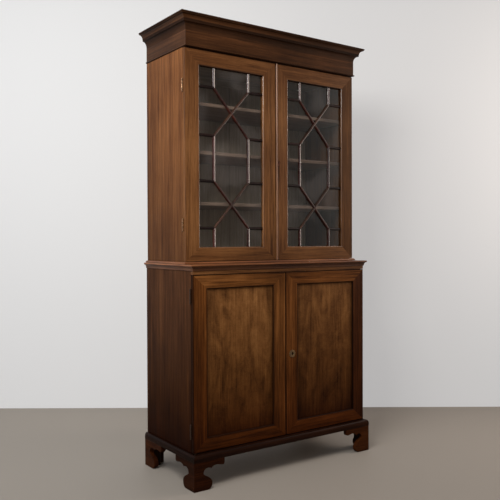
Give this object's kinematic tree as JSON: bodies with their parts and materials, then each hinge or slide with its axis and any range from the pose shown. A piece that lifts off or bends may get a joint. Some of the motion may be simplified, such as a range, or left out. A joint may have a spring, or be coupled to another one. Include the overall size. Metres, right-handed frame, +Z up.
{
  "type": "bookcase with glass doors",
  "caption": "Tall bookcase: glass doors with crossed glazing bars over a cupboard with panelled doors, on shaped bracket feet, under a moulded cornice.",
  "frame": {"origin": "on the floor, midway between the left and right sides and midway between the base moulding's front and the back face", "axes": "+X to the right of a person facing the doors, +Y towards the wall, +Z up; the doors face -Y"},
  "size_m": [1.152, 0.496, 2.2],
  "materials": {
    "side_wood": "polished, worn",
    "door_wood": "polished, worn",
    "panel_wood": "polished, figured",
    "dark_wood": "polished, dark",
    "inner_wood": "unpolished",
    "bar_wood": "polished",
    "brass": "dull",
    "steel": "dull",
    "glass": "clear, old"
  },
  "bodies": {
    "case": {"foot_front_left": "dark_wood", "foot_front_right": "dark_wood", "foot_back_left": "dark_wood", "foot_back_right": "dark_wood", "base_moulding": "dark_wood", "lower_side_left": "side_wood", "lower_side_right": "side_wood", "lower_bottom": "inner_wood", "lower_shelf": "inner_wood", "lower_back": "inner_wood", "lower_top": "side_wood", "waist_moulding": "dark_wood", "upper_side_left": "side_wood", "upper_side_right": "side_wood", "upper_bottom": "inner_wood", "upper_top": "inner_wood", "upper_back": "inner_wood", "shelf_low": "inner_wood", "shelf_middle": "inner_wood", "shelf_high": "inner_wood", "cornice_front": "dark_wood", "cornice_left": "dark_wood", "cornice_right": "dark_wood", "lower_left_bottom_case_leaf": "brass", "lower_left_top_case_leaf": "brass", "lower_right_bottom_case_leaf": "brass", "lower_right_top_case_leaf": "brass", "upper_left_bottom_case_leaf": "brass", "upper_left_top_case_leaf": "brass", "upper_right_bottom_case_leaf": "brass", "upper_right_top_case_leaf": "brass"},
    "lower_left_bolt": {"lower_left_door_bolt": "brass"},
    "lower_left_door": {"lower_left_door_frame": "door_wood", "lower_left_door_panel": "panel_wood", "lower_left_door_bottom_hinge_leaf": "brass", "lower_left_door_top_hinge_leaf": "brass", "lower_left_door_bolt_plate": "brass"},
    "lower_right_lock_bolt": {"lower_right_door_lock_bolt": "brass"},
    "lower_right_door": {"lower_right_door_frame": "door_wood", "lower_right_door_panel": "panel_wood", "lower_right_door_bottom_hinge_leaf": "brass", "lower_right_door_top_hinge_leaf": "brass", "lower_right_door_lock": "steel", "lower_right_door_escutcheon": "brass"},
    "upper_left_bolt": {"upper_left_door_bolt": "brass"},
    "upper_left_door": {"upper_left_door_frame": "door_wood", "upper_left_door_glazing_bars": "bar_wood", "upper_left_door_glass": "glass", "upper_left_door_bottom_hinge_leaf": "brass", "upper_left_door_top_hinge_leaf": "brass", "upper_left_door_bolt_plate": "brass"},
    "upper_right_lock_bolt": {"upper_right_door_lock_bolt": "brass"},
    "upper_right_door": {"upper_right_door_frame": "door_wood", "upper_right_door_glazing_bars": "bar_wood", "upper_right_door_glass": "glass", "upper_right_door_bottom_hinge_leaf": "brass", "upper_right_door_top_hinge_leaf": "brass", "upper_right_door_lock": "steel", "upper_right_door_astragal": "dark_wood", "upper_right_door_keyhole_lining": "brass"}
  },
  "joints": [
    {"name": "lower_left_door_hinge", "type": "hinge", "parent": "case", "child": "lower_left_door", "pos_m": [-0.5413, -0.19875, 0.5775], "axis": [0, 0, -1], "range_deg": [0, 170]},
    {"name": "lower_right_door_hinge", "type": "hinge", "parent": "case", "child": "lower_right_door", "pos_m": [0.5413, -0.19875, 0.5775], "axis": [0, 0, 1], "range_deg": [0, 170]},
    {"name": "lower_left_bolt_slide", "type": "slide", "parent": "lower_left_door", "child": "lower_left_bolt", "axis": [0, 0, 1], "range_m": [0, 0.012]},
    {"name": "lower_right_lock_bolt_slide", "type": "slide", "parent": "lower_right_door", "child": "lower_right_lock_bolt", "axis": [-1, 0, 0], "range_m": [0, 0.009]},
    {"name": "upper_left_door_hinge", "type": "hinge", "parent": "case", "child": "upper_left_door", "pos_m": [-0.5353, -0.12075, 1.548], "axis": [0, 0, -1], "range_deg": [0, 170]},
    {"name": "upper_right_door_hinge", "type": "hinge", "parent": "case", "child": "upper_right_door", "pos_m": [0.5353, -0.12075, 1.548], "axis": [0, 0, 1], "range_deg": [0, 170]},
    {"name": "upper_left_bolt_slide", "type": "slide", "parent": "upper_left_door", "child": "upper_left_bolt", "axis": [0, 0, 1], "range_m": [0, 0.012]},
    {"name": "upper_right_lock_bolt_slide", "type": "slide", "parent": "upper_right_door", "child": "upper_right_lock_bolt", "axis": [-1, 0, 0], "range_m": [0, 0.009]}
  ]
}
